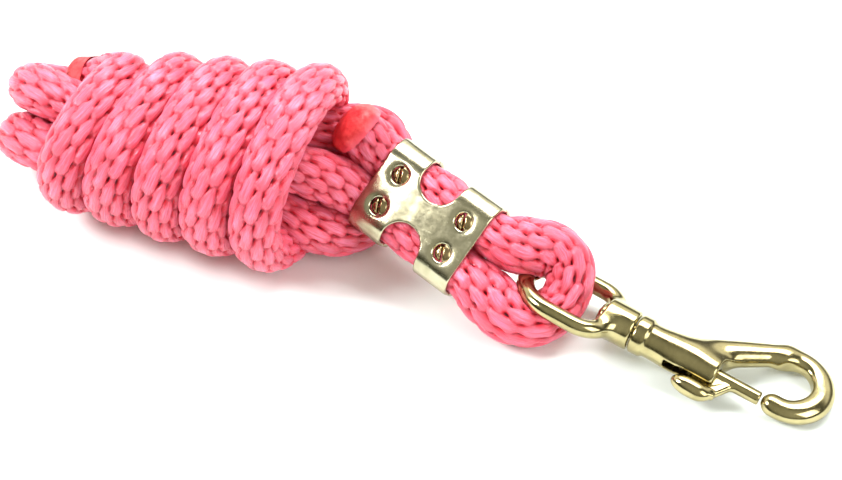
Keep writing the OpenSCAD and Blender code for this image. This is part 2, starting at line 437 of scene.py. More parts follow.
# %% Lay a mesh on a distance
CORNERS = np.array([(x, y, z) for x in (0, 1) for y in (0, 1) for z in (0, 1)])
EDGES = [(a, b) for a in range(8) for b in range(a + 1, 8)
         if np.abs(CORNERS[a] - CORNERS[b]).sum() == 1]


def slopes(distance, points, reach=0.02):
    grads = np.zeros_like(points)
    for k in range(3):
        step = np.zeros(3)
        step[k] = reach
        grads[:, k] = (distance(points + step) - distance(points - step)) / (2 * reach)
    return grads


def settle(distance, points, rounds):
    """Moves points along the slope until they lie on the surface."""
    for _ in range(rounds):
        g = slopes(distance, points)
        size = np.maximum((g * g).sum(axis=1), 0.05)
        move = (distance(points) / size)[:, None] * g
        length = np.linalg.norm(move, axis=1)[:, None]
        points = points - move * np.minimum(1, 0.5 / np.maximum(length, 1e-9))
    return points


def lay_mesh(distance, low, high, cell, relax=4):
    """Points and four-sided faces on the surface, from a grid of cells across it."""
    low = np.array(low, float)
    count = np.ceil((np.array(high) - low) / cell).astype(int) + 1
    grid = np.stack(np.meshgrid(*[np.arange(c) for c in count], indexing="ij"), axis=-1)
    values = distance(low + grid.reshape(-1, 3) * cell).reshape(count)
    inside = values < 0
    cells = count - 1
    held = sum(inside[x:x + cells[0], y:y + cells[1], z:z + cells[2]].astype(int)
               for x, y, z in CORNERS)
    active = np.argwhere((held > 0) & (held < 8))
    number = np.full(cells, -1)
    number[tuple(active.T)] = np.arange(len(active))
    at = [values[tuple((active + c).T)] for c in CORNERS]
    total, hits = np.zeros((len(active), 3)), np.zeros(len(active))
    for a, b in EDGES:
        crosses = (at[a] < 0) != (at[b] < 0)
        t = np.where(crosses, at[a] / np.where(crosses, at[a] - at[b], 1), 0)
        spot = CORNERS[a] + t[:, None] * (CORNERS[b] - CORNERS[a])
        total += np.where(crosses[:, None], spot, 0)
        hits += crosses
    points = low + (active + total / hits[:, None]) * cell
    faces = []
    for axis in range(3):
        one, two = (axis + 1) % 3, (axis + 2) % 3
        step = np.eye(3, dtype=int)
        ahead = np.roll(inside, -1, axis=axis)
        change = np.argwhere(inside != ahead)
        keep = ((change[:, axis] < count[axis] - 1) & (change[:, one] > 0)
                & (change[:, two] > 0) & (change[:, one] < count[one] - 1)
                & (change[:, two] < count[two] - 1))
        change = change[keep]
        quad = np.column_stack([number[tuple((change - s).T)] for s in
                                (step[one] + step[two], step[two], 0 * step[0], step[one])])
        outward = inside[tuple(change.T)]
        faces.append(np.where(outward[:, None], quad, quad[:, ::-1]))
    faces = np.vstack(faces)
    points = settle(distance, points, 3)
    for _ in range(relax):
        points = settle(distance, even_out(points, faces), 2)
    return points, faces


def even_out(points, faces):
    """Each point moves halfway to the middle of its neighbours."""
    total, hits = np.zeros_like(points), np.zeros(len(points))
    for a, b in ((0, 1), (1, 2), (2, 3), (3, 0)):
        np.add.at(total, faces[:, a], points[faces[:, b]])
        np.add.at(total, faces[:, b], points[faces[:, a]])
        np.add.at(hits, faces[:, a], 1)
        np.add.at(hits, faces[:, b], 1)
    return 0.5 * points + 0.5 * total / hits[:, None]


def add_piece(name, points, faces, body, replaces=()):
    """A smooth-shaded object from points in row-frame millimetres, riding on a body."""
    mesh = bpy.data.meshes.new(name)
    mesh.from_pydata((points * MM).tolist(), [], faces.tolist())
    mesh.validate()
    mesh.polygons.foreach_set("use_smooth", [True] * len(mesh.polygons))
    piece = bpy.data.objects.new(name, mesh)
    bpy.context.scene.collection.objects.link(piece)
    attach(piece, body)
    if replaces:
        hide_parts(*replaces)
    print(name, "faces:", len(mesh.polygons))
    return piece


# %% [markdown]
# ## The swivel eye
#
# The eye is an oblong ring of brass bar whose two sides turn in to a drilled base. It is
# made first, because the rope has to give way to its bars.

# %% Swivel eye
def eye_bars(p):
    ring = bent_bar(p, (EYE_REAR, 0), EYE_HALF_W, EYE_BAR_R, 90, 180)
    for side in (-1, 1):
        straight = tapered_line(p, [(EYE_REAR, side * EYE_HALF_W, 0, EYE_BAR_R),
                                    (EYE_SHOULDER, side * EYE_HALF_W, 0, EYE_BAR_R)])
        shoulder = bent_bar(p, (EYE_SHOULDER, side * (EYE_HALF_W - SHOULDER_R)), SHOULDER_R,
                            EYE_BAR_R, 0 if side > 0 else -90, 90)
        ring = np.minimum(np.minimum(ring, straight), shoulder)
    return ring


def eye_shape(p):
    base = disc_bar(p, 6.1, -10.2, -0.4, 1.0)
    solid = blend_in(eye_bars(p), base, 3.6)
    return cut_out(solid, np.hypot(p[:, 1], p[:, 2]) - 2.32, 0.5)


points, faces = lay_mesh(eye_shape, (-40, -16, -8), (1, 16, 8), 0.42)
swivel_eye = add_piece("swivel_eye_cast", to_row(points, SNAP_AT, EYE_TURN), faces,
                       "eye", ["swivel_eye"])

# %% [markdown]
# ## Press the rope and make its mesh

# %% Press rules
def soft_limit(value, limit, give=0.8):
    """Keeps |value| under limit, easing in over the last stretch."""
    start = limit - give
    over = np.maximum(np.abs(value) - start, 0)
    return np.sign(value) * (np.minimum(np.abs(value), start)
                             + give * (1 - np.exp(-over / give)))


# The sleeve's bent edge in its section: the way it faces, and how far out it is
EDGE_Y, EDGE_Z, EDGE_OUT = 0.766, 0.643, 14.12


def press_in_clamp(p, clamped):
    """Keeps the two clamped runs inside the sleeve, and any other run outside it."""
    q = to_local(p, CLAMP_AT, CLAMP_TURN)
    near = (clamped & (np.abs(q[:, 0]) < CLAMP_L / 2 + 4) & (np.abs(q[:, 1]) < 24)
            & (np.abs(q[:, 2]) < 16))
    end = np.clip((np.abs(q[:, 0]) - CLAMP_L / 2) / 4, 0, 1)
    waist = np.clip(1.6 - np.abs(q[:, 0]) / 4.2, 0, 1) * np.clip(
        (np.abs(q[:, 1]) - (CLAMP_W / 2 - NOTCH_DEPTH) - 1) / 2.5, 0, 1)
    free = np.clip(end + waist, 0, 1)
    high = soft_limit(q[:, 2], CLAMP_T / 2 - SHEET_T - 0.15)
    wide = soft_limit(q[:, 1], CLAMP_W / 2 - SHEET_T - 0.15)
    past = np.abs(wide) * EDGE_Y + np.abs(high) * EDGE_Z - (EDGE_OUT - SHEET_T - 0.2)
    past = np.maximum(past, 0)
    wide = wide - np.sign(wide) * past * EDGE_Y
    high = high - np.sign(high) * past * EDGE_Z
    q[:, 1] = np.where(near, q[:, 1] * free + wide * (1 - free), q[:, 1])
    q[:, 2] = np.where(near, q[:, 2] * free + high * (1 - free), q[:, 2])
    other = np.flatnonzero(~clamped & (np.abs(q[:, 0]) < 24) & (np.abs(q[:, 1]) < 20)
                           & (np.abs(q[:, 2]) < 13))
    q[other] = push_out(clamp_solid, q[other], 0.3)
    return to_row(q, CLAMP_AT, CLAMP_TURN)


def clamp_solid(p):
    """The closed clamp as a plain solid, for the runs that pass outside it."""
    size = np.abs(p) - np.array([CLAMP_L / 2, CLAMP_W / 2, CLAMP_T / 2])
    return both(both(size[:, 0], size[:, 1], 2.0), size[:, 2], 2.0)


def push_out(shape, points, gap):
    """Points inside a shape, or nearer than the gap, move out to the gap."""
    for _ in range(4):
        points = points - np.minimum(shape(points) - gap, 0)[:, None] * slopes(shape, points)
    return points


def press_by_eye(p):
    q = to_local(p, SNAP_AT, EYE_TURN)
    near = np.flatnonzero((q[:, 0] > -44) & (q[:, 0] < 2) & (np.abs(q[:, 1]) < 20)
                          & (np.abs(q[:, 2]) < 9))
    q[near] = push_out(eye_shape, q[near], 0.12)
    return to_row(q, SNAP_AT, EYE_TURN)


def press_on_floor(p):
    low = p[:, 2] < 0.6
    p[:, 2] = np.where(low, 0.08 + 0.52 * np.exp((p[:, 2] - 0.6) / 0.9), p[:, 2])
    return p


def tube_faces(rings, n):
    a = np.arange(rings - 1)[:, None] * n + np.arange(n)[None]
    b = np.arange(rings - 1)[:, None] * n + (np.arange(n)[None] + 1) % n
    return np.stack([a, b, b + n, a + n], axis=-1).reshape(-1, 4)


def make_rope():
    rings, n = rope_points.shape[:2]
    points = rope_points.reshape(-1, 3)
    clamped = np.repeat(line[:, 5] > 0.5, n)
    points = press_on_floor(press_by_eye(press_in_clamp(points, clamped)))
    piece = add_piece("braided_rope", points, tube_faces(rings, n), "rope",
                      ["rope_hank", "rope_eye_loop", "rope_loose_bight"])
    mesh = piece.data
    for name, values in zip(("relief", "across", "lengthways", "tint"), rope_marks):
        mark = mesh.attributes.new(name, "FLOAT", "POINT")
        mark.data.foreach_set("value", values.astype(np.float32).ravel())
    middle = points.reshape(rings, n, 3).mean(axis=1)
    return piece, middle


rope, rope_middle = make_rope()

# %% [markdown]
# ## Sealed ends
#
# A synthetic rope is cut with a hot knife, and its ends melt to a hard red cap. Each cap is
# a short, lumpy sleeve of melted yarn round the rope's last few millimetres, closed by a
# dome. The knife has charred the tail's rim.

# %% Sealed ends
CAP_ROWS, SLEEVE_ROWS = 19, 6


def sealed_end(name, ring, inner, sleeve_step, bulge, char, seed):
    """A melted cap over a ring of rope points; inner is a point back inside the rope."""
    centre = ring.mean(axis=0)
    out = centre - inner
    out /= np.linalg.norm(out)
    n = len(ring)
    turn = 2 * math.pi * np.arange(n) / n
    lumps = (0.025 * np.sin(3 * turn + seed) + 0.02 * np.sin(5 * turn + 2 * seed)
             + 0.01 * np.sin(9 * turn + 3 * seed))
    lumps = 1 + lumps - lumps.min()
    flat = ring - centre
    flat = flat - (flat @ out)[:, None] * out
    reach = np.linalg.norm(flat, axis=1)[:, None]
    flat = flat / reach * (reach.max() + 0.25)
    rows = []
    for step in range(CAP_ROWS):
        a = math.pi / 2 * max(step - SLEEVE_ROWS, 0) / (CAP_ROWS - 1 - SLEEVE_ROWS)
        wide = math.cos(a) if step < CAP_ROWS - 1 else 0.02
        rise = bulge * math.sin(a) - sleeve_step * max(SLEEVE_ROWS - step, 0) - 0.6
        ripple = 0.12 * wide * np.sin(3 * turn + step * 0.8 + seed)[:, None]
        reach = wide * (1 + (lumps[:, None] - 1) * wide)
        rows.append(centre + flat * reach + out * (rise + ripple))
    points = np.vstack(rows)
    faces = tube_faces(len(rows), n)
    cap = add_piece(name, points, faces, "rope")
    row = np.arange(CAP_ROWS)
    rim = char * np.repeat(np.clip(1 - np.abs(row - 7) / 5, 0, 1), n)
    melted = np.repeat(np.clip(row / 7 + char, 0, 1), n)
    for name, values in (("rim", rim), ("melted", melted)):
        mark = cap.data.attributes.new(name, "FLOAT", "POINT")
        mark.data.foreach_set("value", values.astype(np.float32))
    return cap


grid = np.array([v.co for v in rope.data.vertices]).reshape(len(line), -1, 3) / MM
short_tip = sealed_end("sealed_short_end", grid[0], rope_middle[8], 0.45, 4.6, 0.2, 0.7)
tail_tip = sealed_end("sealed_tail", grid[-1], rope_middle[-9], 0.9, 3.4, 1.0, 2.9)

# %% [markdown]
# ## The snap's body
#
# The body is one casting: a short barrel that holds the spring, a tapering shank, and a
# hook that comes back to face the barrel. The hook is thick at its far end, thin over
# the top, and flat on its inner side, and ends in a blunt nose that the bolt closes on.

# %% Snap body
HOOK_AT, HOOK_R = (46, 9.6), 9.3
BARREL_R, BEAD_R, BORE_R = 5.3, 6.0, 2.2
BORE_FROM, SLOT_FROM, SLOT_HALF_W = 4, 11.5, 1.6


def hook_bar(p):
    """The hook's bend: thick at its far end, thinner over the top and at the nose."""
    x, y = p[:, 0] - HOOK_AT[0], p[:, 1] - HOOK_AT[1]
    angle = np.clip(np.degrees(np.arctan2(y, x)), -90, 122)
    angle = np.where((x < 0) & (y < 0), -90, angle)
    middle = np.radians(angle)
    bar = 3.4 + 0.85 * np.cos(np.radians(angle + 15)) ** 2
    bend = np.sqrt((x - HOOK_R * np.cos(middle)) ** 2 + (y - HOOK_R * np.sin(middle)) ** 2
                   + (p[:, 2] / 0.8) ** 2) - bar
    nose = tapered_line(p, [(47, 0.3, 0, 2.95), (44.4, 0.3, 0, 3.2)], 0.94)
    return blend_in(bend * 0.9, nose, 1.0)


def snap_shape(p):
    barrel = disc_bar(p, BARREL_R, 2.5, 27, 1.2)
    bead = disc_bar(p, BEAD_R, 0.0, 4.2, 1.0)
    solid = blend_in(barrel, bead, 0.8)
    shank = tapered_line(p, [
        (13, 1.2, 0, 4.0), (18, 4.0, 0, 4.4), (24, 7.7, 0, 4.4), (30, 11.7, 0, 4.1),
        (36, 15.6, 0, 3.7), (40.5, 17.9, 0, 3.4),
    ], 0.84)
    hook = hook_bar(p)
    hook = blend_in(hook, shank, 2.5)
    solid = blend_in(solid, hook, 4.2)
    face = HOOK_R - 2.95 - np.hypot(p[:, 0] - HOOK_AT[0], p[:, 1] - HOOK_AT[1])
    solid = both(solid, face, 0.7)
    bore = disc_bar(p, BORE_R, BORE_FROM, 34, 0.1)
    slot = block(p, (SLOT_FROM, -12, -SLOT_HALF_W), (34, 0, SLOT_HALF_W), 0.5)
    return cut_out(solid, np.minimum(bore, slot), 0.35)


points, faces = lay_mesh(snap_shape, (-1.2, -7.5, -7.5), (60, 24, 7.5), 0.4)
snap_body = add_piece("snap_casting", to_row(points, SNAP_AT, SNAP_TURN), faces,
                      "snap", ["snap_body"])

# %% [markdown]
# ## The bolt
#
# The bolt is a rod that slides in the barrel. Its thumb-piece is an egg-shaped knob that
# sits beside the barrel, and in front of the barrel an arm thin enough to pass through the
# slot runs down from it into the rod.

# %% Bolt
BOLT_R, BOLT_BACK, BOLT_TIP, KNOB_X, KNOB_Y = 2.08, 20, 40.8, 22.5, -8.3


def bolt_shape(p):
    rod = disc_bar(p, BOLT_R, BOLT_BACK, BOLT_TIP, 0.6)
    q = (p - np.array([KNOB_X - 0.4, KNOB_Y, 0])) / np.array([6.1, 2.8, 2.9])
    size = np.linalg.norm(q, axis=1)
    knob = (size - 1) * size / np.maximum(np.linalg.norm(
        q / np.array([6.1, 2.8, 2.9]), axis=1), 1e-6)
    arm = tapered_line(p, [(KNOB_X + 2.5, KNOB_Y + 0.2, 0, 2.1), (28.4, -5.6, 0, 1.9),
                           (31.0, -1.6, 0, 1.7)], 0.85)
    arm = np.minimum(arm, block(p, (25.0, -8, -1.25), (29.5, 0, 1.25), 0.6))
    solid = blend_in(blend_in(rod, arm, 0.8), knob, 1.6)
    passes_slot = np.abs(p[:, 2]) - 1.4 - 1.5 * np.clip(-6.0 - p[:, 1], 0, 3)
    passes_bore = np.hypot(p[:, 1], p[:, 2]) - BOLT_R
    return both(solid, np.minimum(passes_slot, passes_bore), 0.15)


points, faces = lay_mesh(bolt_shape, (15.2, -11.8, -4), (42, 4, 4), 0.34)
bolt = add_piece("bolt_with_thumb_piece", to_row(points, SNAP_AT, SNAP_TURN), faces,
                 "bolt", ["bolt"])

# %% [markdown]
# ## The rivet
#
# The rivet's shank turns in the eye's base, and its head is peened over inside the eye,
# so the snap can spin but can't pull off. The head is a low dome with hammered facets.

# %% Rivet
def rivet_shape(p):
    shank = disc_bar(p, 2.16, -11.5, 1.2, 0.2)
    dents = 0.14 * np.cos(5 * np.arctan2(p[:, 2], p[:, 1])) * np.clip(
        np.hypot(p[:, 1], p[:, 2]) / 4, 0, 1)
    head = both(disc_bar(p, 3.95, -12.6, -10.32, 0.7),
                np.linalg.norm(p - np.array([-7.4, 0, 0]), axis=1) - 5.4 + dents, 0.6)
    return blend_in(shank, head, 0.3)


points, faces = lay_mesh(rivet_shape, (-14, -5, -5), (2, 5, 5), 0.3)
rivet = add_piece("rivet_peened", to_row(points, SNAP_AT, SNAP_TURN), faces,
                  "snap", ["swivel_rivet"])

# %% [markdown]
# ## The spring
#
# A small coil in the barrel pushes the bolt shut. It's wound from round wire as a curve,
# with two closed turns at each end as real compression springs have.

# %% Spring
def coil_points(start, end, turns, radius, closed=1.5, wire=0.6, steps=20):
    """A compression coil along X whose end turns lie against each other."""
    rows = []
    total = turns + 2 * closed
    for i in range(int(total * steps) + 1):
        turn = i / steps
        if turn < closed:
            x = start + turn * wire
        elif turn > total - closed:
            x = end - (total - turn) * wire
        else:
            x = (start + closed * wire
                 + (turn - closed) / turns * (end - start - 2 * closed * wire))
        a = 2 * math.pi * turn
        rows.append((x, radius * math.cos(a), radius * math.sin(a)))
    return np.array(rows)


def add_spring():
    rows = to_row(coil_points(4.35, 19.65, 6, 1.5), SNAP_AT, SNAP_TURN)
    tangents, sides = carried_sides(rows)
    others = np.cross(tangents, sides)
    a = 2 * math.pi * np.arange(10) / 10
    ring = (np.cos(a)[None, :, None] * sides[:, None]
            + np.sin(a)[None, :, None] * others[:, None]) * 0.3
    points = (rows[:, None] + ring).reshape(-1, 3)
    return add_piece("spring_coil", points, tube_faces(len(rows), 10), "snap",
                     ["bolt_spring"])


spring = add_spring()

# %% [markdown]
# ## The clamp
#
# Two stamped halves of brass sheet close round the two runs of rope as an open sleeve. Each
# has bent edges and a waist notch on each long side where the rope bulges out, and the
# front one has four pierced holes with dimpled rims. Prongs of the back half come up
# through the holes and are bent over. The sheet is a shell: the sleeve's section, less the
# same section drawn in by the sheet's thickness.

# %% Clamp halves
def sleeve(p, inset):
    """The closed clamp's section as a solid bar along X, drawn in by an inset."""
    y, z = np.abs(p[:, 1]), np.abs(p[:, 2])
    side, flat = y - (CLAMP_W / 2 - inset), z - (CLAMP_T / 2 - inset)
    bend = (y - CLAMP_W / 2) * 0.66 + (z - CLAMP_T / 2) * 0.75 + 2.9 + inset
    return both(both(side, flat, 1.0), bend, 1.8)


def waist_notches(p):
    """The two notches: a slot with a round end, cut in from each long side."""
    x, y = p[:, 0], np.abs(p[:, 1])
    inner = CLAMP_W / 2 - NOTCH_DEPTH + NOTCH_R
    return np.where(y < inner, np.hypot(x, y - inner) - NOTCH_R,
                    np.abs(x) - NOTCH_R - 0.06 * (y - inner))


def prong_holes(p):
    return np.hypot(np.abs(p[:, 0]) - PRONG_X, np.abs(p[:, 1]) - PRONG_Y)


def clamp_half(p, front):
    shell = cut_out(sleeve(p, 0), sleeve(p, SHEET_T), 0.2)
    shell = both(shell, np.abs(p[:, 0]) - CLAMP_L / 2, 0.5)
    split = (-p[:, 2] + 0.15) if front else (p[:, 2] + 0.15)
    shell = both(shell, split, 0.25)
    shell = cut_out(shell, waist_notches(p), 0.45)
    if front:
        shell = cut_out(shell, np.maximum(prong_holes(p) - PRONG_HOLE_R, -p[:, 2]), 0.5)
    return shell


def front_half(p):
    """The front half: a slightly bowed sheet, drawn down into a dimple round each hole."""
    sunk = p.copy()
    sunk[:, 2] += 0.0016 * p[:, 0] ** 2 * np.clip((p[:, 2] - 2) / 3, 0, 1)
    sunk[:, 2] += 0.75 * np.exp(-(np.maximum(prong_holes(p) - 1.6, 0) / 1.5) ** 2) * (p[:, 2] > 3)
    return clamp_half(sunk, True)


def prongs(p):
    """Four split prongs of the back half, bent over so that they fill the holes."""
    turn = math.radians(25)
    x, y = np.abs(p[:, 0]) - PRONG_X, np.abs(p[:, 1]) - PRONG_Y
    x, y = x * np.sign(p[:, 0]), y * np.sign(p[:, 1])
    across = x * math.cos(turn) + y * math.sin(turn)
    q = np.column_stack([across, y * math.cos(turn) - x * math.sin(turn), p[:, 2]])
    post = both(np.hypot(x, y) - 1.5, np.abs(q[:, 2]) - 8.0, 0.3)
    dome = np.linalg.norm((q - np.array([0, 0, 6.9])) / np.array([2.75, 2.75, 1.3]), axis=1)
    dome = (dome - 1) * 1.3 - 0.2 * np.sign(across) * np.clip(np.abs(across), 0, 1)
    split = np.maximum(np.abs(across - 0.15) - 0.3, 6.6 - q[:, 2])
    return cut_out(blend_in(post, dome, 0.5), split, 0.25)


def back_half(p):
    return blend_in(clamp_half(p, False), prongs(p), 0.5)


for name, shape, low, high in (
        ("clamp_front_half", front_half, (-20, -16.5, -0.5), (20, 16.5, 9.6)),
        ("clamp_back_half", back_half, (-20, -16.5, -9.6), (20, 16.5, 9.8))):
    points, faces = lay_mesh(shape, low, high, 0.42, relax=3)
    half = add_piece(name, to_row(points, CLAMP_AT, CLAMP_TURN), faces, "rope",
                     ["clamp_front" if "front" in name else "clamp_back"])
    # This mark picks out the prong heads, which the brass paints darker and browner as painted
    # shade.
    prong = np.clip(3.4 - prong_holes(points), 0, 1) * np.clip(points[:, 2] - 4, 0, 1)
    mark = half.data.attributes.new("prong", "FLOAT", "POINT")
    mark.data.foreach_set("value", ("back" in name) * prong.astype(np.float32))
clamp_front = bpy.data.objects["clamp_front_half"]
clamp_back = bpy.data.objects["clamp_back_half"]

# %% [markdown]
# ## Material effects
#
# The effects that several materials share are node groups with named inputs: a soft
# mottle and fine scratches.

# %% Node helpers
def new_group(name, inputs, outputs):
    """A shader node group with float or colour sockets, given as (name, kind, default)."""
    group = bpy.data.node_groups.new(name, "ShaderNodeTree")
    kinds = {"value": "NodeSocketFloat", "colour": "NodeSocketColor",
             "vector": "NodeSocketVector"}
    for label, kind, default in inputs:
        socket = group.interface.new_socket(label, in_out="INPUT", socket_type=kinds[kind])
        if default is not None:
            socket.default_value = default
    for label, kind in outputs:
        group.interface.new_socket(label, in_out="OUTPUT", socket_type=kinds[kind])
    return group, group.nodes.new("NodeGroupInput"), group.nodes.new("NodeGroupOutput")


def add_node(tree, kind, settings=None, **sockets):
    """A node with its properties set; sockets take a value or another node's output."""
    node = tree.nodes.new(kind)
    for key, value in (settings or {}).items():
        setattr(node, key, value)
    for key, value in sockets.items():
        socket = node.inputs[int(key[1:])] if key[1:].isdigit() else node.inputs[
            key.replace("_", " ")]
        if isinstance(value, bpy.types.NodeSocket):
            tree.links.new(value, socket)
        else:
            socket.default_value = value
    return node


def do_math(tree, operation, a, b=0.0):
    return add_node(tree, "ShaderNodeMath", {"operation": operation}, i0=a, i1=b).outputs[0]


def remap(tree, value, low, high, to_low=0.0, to_high=1.0):
    return add_node(tree, "ShaderNodeMapRange", {"interpolation_type": "SMOOTHSTEP"}, i0=value,
                    i1=low, i2=high, i3=to_low, i4=to_high).outputs[0]


def mix_colour(tree, factor, a, b, blend="MIX"):
    node = tree.nodes.new("ShaderNodeMix")
    node.data_type, node.blend_type = "RGBA", blend
    for socket, value in ((node.inputs[0], factor), (node.inputs[6], a), (node.inputs[7], b)):
        if isinstance(value, bpy.types.NodeSocket):
            tree.links.new(value, socket)
        else:
            socket.default_value = value
    return node.outputs[2]


def read_mark(tree, name):
    """A value that a mesh carries on its points; it is 0 on meshes without it."""
    node = tree.nodes.new("ShaderNodeAttribute")
    node.attribute_name = name
    return node.outputs["Fac"]


def mottle_group():
    """Low-contrast cloudiness at a chosen size."""
    group, start, end = new_group("Mottle", [("Scale", "value", 100.0), ("Detail", "value", 4.0)],
                                  [("Mask", "value")])
    place = add_node(group, "ShaderNodeTexCoord").outputs["Object"]
    noise = add_node(group, "ShaderNodeTexNoise", Vector=place,
                     Scale=start.outputs["Scale"], Detail=start.outputs["Detail"],
                     Roughness=0.6)
    mask = remap(group, noise.outputs["Fac"], 0.3, 0.7)
    group.links.new(mask, end.inputs["Mask"])
    return group


def scratch_group():
    """Thin scratches in two directions, as handled brass has."""
    group, start, end = new_group("Scratches", [("Density", "value", 300.0)],
                                  [("Mask", "value")])
    place = add_node(group, "ShaderNodeTexCoord").outputs["Object"]
    masks = []
    for turn, stretch in (((0.3, 0.5, 0.9), (1, 9, 5)), ((1.1, 0.2, -0.6), (7, 1, 9))):
        mapping = add_node(group, "ShaderNodeMapping", Vector=place, Rotation=turn,
                           Scale=stretch)
        noise = add_node(group, "ShaderNodeTexNoise", Vector=mapping.outputs[0],
                         Scale=start.outputs["Density"], Detail=2.0, Roughness=0.5)
        masks.append(remap(group, noise.outputs["Fac"], 0.64, 0.72))
    group.links.new(do_math(group, "MAXIMUM", masks[0], masks[1]), end.inputs["Mask"])
    return group


mottle, scratches = mottle_group(), scratch_group()

# %% [markdown]
# ## Brass
#
# The clamp is bright stamped sheet and the snap is a polished casting, a little darker
# and greener. Both have slow waviness, because neither a stamping nor a hand-polished
# casting is truly flat, and that breaks the reflections up. The heads of the bent prongs,
# which sit sunk in the dimpled holes, are painted duller and browner as painted shade.

# %% Brass
def add_group(tree, group, **values):
    node = tree.nodes.new("ShaderNodeGroup")
    node.node_tree = group
    for key, value in values.items():
        node.inputs[key].default_value = value
    return node


def brass_material(name, bright, dull, roughness, wave, wave_size):
    material = bpy.data.materials.new(name)
    material.use_nodes = True
    tree = material.node_tree
    shader = tree.nodes["Principled BSDF"]
    shader.inputs["Metallic"].default_value = 1.0
    place = add_node(tree, "ShaderNodeTexCoord").outputs["Object"]
    cloud = add_group(tree, mottle, Scale=140.0).outputs["Mask"]
    fine = add_group(tree, mottle, Scale=900.0, Detail=6.0).outputs["Mask"]
    marks = add_group(tree, scratches, Density=260.0).outputs["Mask"]
    colour = mix_colour(tree, do_math(tree, "MULTIPLY", cloud, 0.75), bright, dull)
    colour = mix_colour(tree, do_math(tree, "MULTIPLY", marks, 0.10), colour,
                        (bright[0], bright[1] * 1.05, bright[2] * 1.25, 1))
    # Painted shade: the prong heads sunk in the clamp's holes are painted darker and browner.
    prong = do_math(tree, "MULTIPLY", read_mark(tree, "prong"), 0.8)
    colour = mix_colour(tree, prong, colour, (0.30, 0.20, 0.085, 1))
    tree.links.new(colour, shader.inputs["Base Color"])
    rough = do_math(tree, "ADD", do_math(tree, "MULTIPLY", cloud, 0.07),
                    do_math(tree, "MULTIPLY", fine, 0.06))
    rough = do_math(tree, "ADD", rough, do_math(tree, "MULTIPLY", marks, 0.05))
    tree.links.new(do_math(tree, "ADD", rough, roughness), shader.inputs["Roughness"])
    waves = add_node(tree, "ShaderNodeTexNoise", Vector=place, Scale=wave_size, Detail=1.0)
    height = do_math(tree, "ADD", do_math(tree, "MULTIPLY", waves.outputs["Fac"], wave),
                     do_math(tree, "MULTIPLY", marks, -0.001))
    bump = add_node(tree, "ShaderNodeBump", Height=height, Distance=0.001, Strength=1.0)
    tree.links.new(bump.outputs[0], shader.inputs["Normal"])
    return material


stamped_brass = brass_material("Stamped clamp brass", (0.52, 0.48, 0.33, 1),
                               (0.37, 0.34, 0.21, 1), 0.15, 0.20, 150.0)
cast_brass = brass_material("Polished cast brass", (0.46, 0.395, 0.20, 1),
                            (0.31, 0.26, 0.12, 1), 0.10, 0.20, 110.0)
for piece in (clamp_front, clamp_back):
    piece.data.materials.append(stamped_brass)
for piece in (snap_body, bolt, rivet, swivel_eye):
    piece.data.materials.append(cast_brass)

# %% [markdown]
# ## Spring steel

# %% Spring steel
def spring_material():
    material = bpy.data.materials.new("Drawn spring wire")
    material.use_nodes = True
    tree = material.node_tree
    shader = tree.nodes["Principled BSDF"]
    shader.inputs["Metallic"].default_value = 1.0
    cloud = add_group(tree, mottle, Scale=600.0).outputs["Mask"]
    tree.links.new(mix_colour(tree, cloud, (0.5, 0.49, 0.47, 1), (0.33, 0.31, 0.28, 1)),
                   shader.inputs["Base Color"])
    tree.links.new(remap(tree, cloud, 0.0, 1.0, 0.25, 0.42), shader.inputs["Roughness"])
    return material


spring.data.materials.append(spring_material())

# %% [markdown]
# ## Pink braid
#
# The yarn is a bright pink filament. Its colour carries painted shade: the gaps are painted darker
# and redder, and the deepest pits nearly black. The backs of the stitches get a painted pale,
# silky sheen, and single filaments run along each one, their lighter streaks partly painted sheen.

